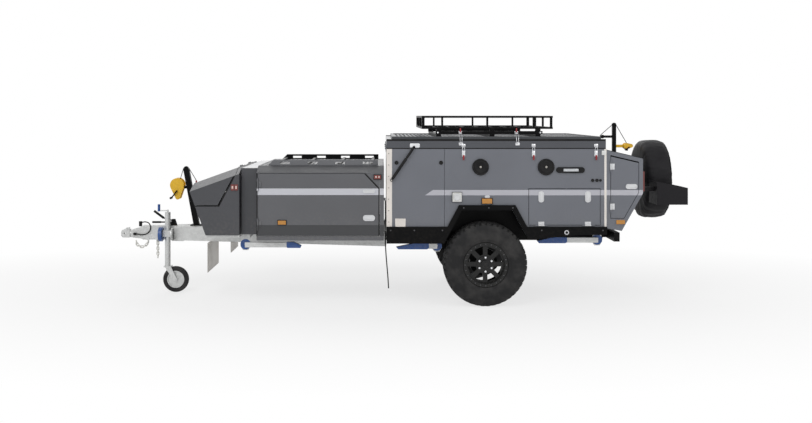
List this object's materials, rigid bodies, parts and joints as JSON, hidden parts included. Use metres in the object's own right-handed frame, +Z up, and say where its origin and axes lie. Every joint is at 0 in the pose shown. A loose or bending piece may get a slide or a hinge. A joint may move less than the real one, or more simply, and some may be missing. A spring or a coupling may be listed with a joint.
{
  "type": "camper trailer",
  "caption": "Off-road camper trailer with A-frame drawbar, front storage box, hinged body lid with roof basket, side hatches, rear locker, spare wheel and fold-down legs.",
  "frame": {"origin": "middle of the trailer's length and width, on the ground", "axes": "+X to the rear, -Y to the trailer's left side, +Z up"},
  "size_m": [5.95, 1.89, 1.907],
  "materials": {
    "body_grey": "satin grey paint",
    "front_grey": "satin grey paint",
    "nose_grey": "satin grey paint",
    "checker_plate": "raised bar pattern",
    "bare_alloy": "satin",
    "rack_alloy": "satin",
    "black_paint": "semi-gloss black",
    "rim_black": "gloss black",
    "winch_yellow": "yellow paint",
    "clamp_blue": "blue paint",
    "cover": "matte",
    "galvanised": "hot-dip galvanised",
    "bright_steel": "zinc plated",
    "black_steel": "gloss black",
    "tyre": "matte",
    "small_tyre": "matte",
    "lamp_lens": "clear coloured",
    "fittings": "matte",
    "hose": "matte"
  },
  "bodies": {
    "frame": {"drawbar": "galvanised", "coupling": "galvanised", "handbrake": "bright_steel", "safety_chains": "bright_steel", "brake_cable": "fittings", "jockey_clamp": "clamp_blue", "jockey_tube": "galvanised", "winch_masts": "black_paint", "winches": "winch_yellow", "winch_cables": "bright_steel", "stone_deflectors": "rack_alloy", "nose_box": "nose_grey", "mid_box": "front_grey", "front_box": "front_grey", "front_box_top": "checker_plate", "front_rack": "black_paint", "chassis_frame": "black_paint", "trailing_arms": "black_paint", "springs_dampers": "black_steel", "body_tub": "body_grey", "body_side_left": "body_grey", "body_side_right": "body_grey", "sills": "black_paint", "corner_strips": "bare_alloy", "rear_locker": "body_grey", "locker_cover": "cover", "spare_carrier": "black_paint", "spare_wheel": "cover", "jerry_holders": "black_paint", "leg_brackets": "galvanised", "lamps": "lamp_lens", "side_fittings": "fittings", "drain_hose": "hose"},
    "jockey_swivel": {"jockey_fork": "galvanised"},
    "jockey_wheel": {"jockey_wheel": "small_tyre"},
    "nose_lid": {"nose_lid": "nose_grey"},
    "body_lid": {"body_lid": "body_grey", "lid_deck": "checker_plate", "roof_basket": "black_paint"},
    "wheel_left": {"tyre_left": "tyre", "rim_left": "rim_black"},
    "front_door_left": {"front_door_left": "front_grey"},
    "hatch_left": {"hatch_left": "body_grey"},
    "locker_door_left": {"locker_door_left": "body_grey"},
    "strut_tube_left": {"strut_tube_left": "black_steel"},
    "strut_rod_left": {"strut_rod_left": "bright_steel"},
    "leg_front_left": {"leg_front_left": "galvanised"},
    "leg_mid_left": {"leg_mid_left": "galvanised"},
    "leg_rear_left": {"leg_rear_left": "galvanised"},
    "wheel_right": {"tyre_right": "tyre", "rim_right": "rim_black"},
    "front_door_right": {"front_door_right": "front_grey"},
    "hatch_right": {"hatch_right": "body_grey"},
    "locker_door_right": {"locker_door_right": "body_grey"},
    "strut_tube_right": {"strut_tube_right": "black_steel"},
    "strut_rod_right": {"strut_rod_right": "bright_steel"},
    "leg_front_right": {"leg_front_right": "galvanised"},
    "leg_mid_right": {"leg_mid_right": "galvanised"},
    "leg_rear_right": {"leg_rear_right": "galvanised"}
  },
  "joints": [
    {"name": "jockey_swivel", "type": "hinge", "parent": "frame", "child": "jockey_swivel", "pos_m": [-2.453, -0.1003, 0.3], "axis": [0, 0, 1], "continuous": true},
    {"name": "jockey_spin", "type": "hinge", "parent": "jockey_swivel", "child": "jockey_wheel", "pos_m": [-2.362, -0.1003, 0.14], "axis": [0, 1, 0], "continuous": true},
    {"name": "nose_lid", "type": "hinge", "parent": "frame", "child": "nose_lid", "pos_m": [-1.62249, 0, 1.38083], "axis": [0, 1, 0], "range_deg": [0, 75]},
    {"name": "body_lid", "type": "hinge", "parent": "frame", "child": "body_lid", "pos_m": [-0.096, 0, 1.576], "axis": [0, -1, 0], "range_deg": [0, 110]},
    {"name": "wheel_left", "type": "hinge", "parent": "frame", "child": "wheel_left", "pos_m": [0.903, -0.8025, 0.42], "axis": [0, 1, 0], "continuous": true},
    {"name": "front_door_left", "type": "hinge", "parent": "frame", "child": "front_door_left", "pos_m": [-1.3745, -0.909, 1], "axis": [0, 0, -1], "range_deg": [0, 100]},
    {"name": "hatch_left", "type": "hinge", "parent": "frame", "child": "hatch_left", "pos_m": [1.693, -0.909, 0.812], "axis": [1, 0, 0], "range_deg": [0, 90]},
    {"name": "locker_door_left", "type": "hinge", "parent": "frame", "child": "locker_door_left", "pos_m": [2.1555, -0.909, 1.2], "axis": [0, 0, -1], "range_deg": [0, 110]},
    {"name": "strut_swing_left", "type": "hinge", "parent": "frame", "child": "strut_tube_left", "pos_m": [-0.037, -0.925, 1.266], "axis": [0, -1, 0], "range_deg": [0, 55]},
    {"name": "strut_slide_left", "type": "slide", "parent": "strut_tube_left", "child": "strut_rod_left", "axis": [0.5633, 0, 0.8262], "range_m": [0, 0.2]},
    {"name": "leg_front_left", "type": "hinge", "parent": "frame", "child": "leg_front_left", "pos_m": [-1.517, -0.78, 0.604], "axis": [0, 1, 0], "range_deg": [0, 90]},
    {"name": "leg_mid_left", "type": "hinge", "parent": "frame", "child": "leg_mid_left", "pos_m": [0.425, -0.78, 0.59], "axis": [0, -1, 0], "range_deg": [0, 90]},
    {"name": "leg_rear_left", "type": "hinge", "parent": "frame", "child": "leg_rear_left", "pos_m": [2.051, -0.78, 0.652], "axis": [0, -1, 0], "range_deg": [0, 90]},
    {"name": "wheel_right", "type": "hinge", "parent": "frame", "child": "wheel_right", "pos_m": [0.903, 0.8025, 0.42], "axis": [0, 1, 0], "continuous": true},
    {"name": "front_door_right", "type": "hinge", "parent": "frame", "child": "front_door_right", "pos_m": [-1.3745, 0.909, 1], "axis": [0, 0, 1], "range_deg": [0, 100]},
    {"name": "hatch_right", "type": "hinge", "parent": "frame", "child": "hatch_right", "pos_m": [1.693, 0.909, 0.812], "axis": [-1, 0, 0], "range_deg": [0, 90]},
    {"name": "locker_door_right", "type": "hinge", "parent": "frame", "child": "locker_door_right", "pos_m": [2.1555, 0.909, 1.2], "axis": [0, 0, 1], "range_deg": [0, 110]},
    {"name": "strut_swing_right", "type": "hinge", "parent": "frame", "child": "strut_tube_right", "pos_m": [-0.037, 0.925, 1.266], "axis": [0, -1, 0], "range_deg": [0, 55]},
    {"name": "strut_slide_right", "type": "slide", "parent": "strut_tube_right", "child": "strut_rod_right", "axis": [0.5633, 0, 0.8262], "range_m": [0, 0.2]},
    {"name": "leg_front_right", "type": "hinge", "parent": "frame", "child": "leg_front_right", "pos_m": [-1.517, 0.78, 0.604], "axis": [0, 1, 0], "range_deg": [0, 90]},
    {"name": "leg_mid_right", "type": "hinge", "parent": "frame", "child": "leg_mid_right", "pos_m": [0.425, 0.78, 0.59], "axis": [0, -1, 0], "range_deg": [0, 90]},
    {"name": "leg_rear_right", "type": "hinge", "parent": "frame", "child": "leg_rear_right", "pos_m": [2.051, 0.78, 0.652], "axis": [0, -1, 0], "range_deg": [0, 90]}
  ],
  "couplings": [
    {"joint": "strut_swing_left", "follows": "body_lid", "ratio": 0.465},
    {"joint": "strut_slide_left", "follows": "body_lid", "m_per_rad": 0.1021},
    {"joint": "strut_swing_right", "follows": "body_lid", "ratio": 0.465},
    {"joint": "strut_slide_right", "follows": "body_lid", "m_per_rad": 0.1021}
  ]
}
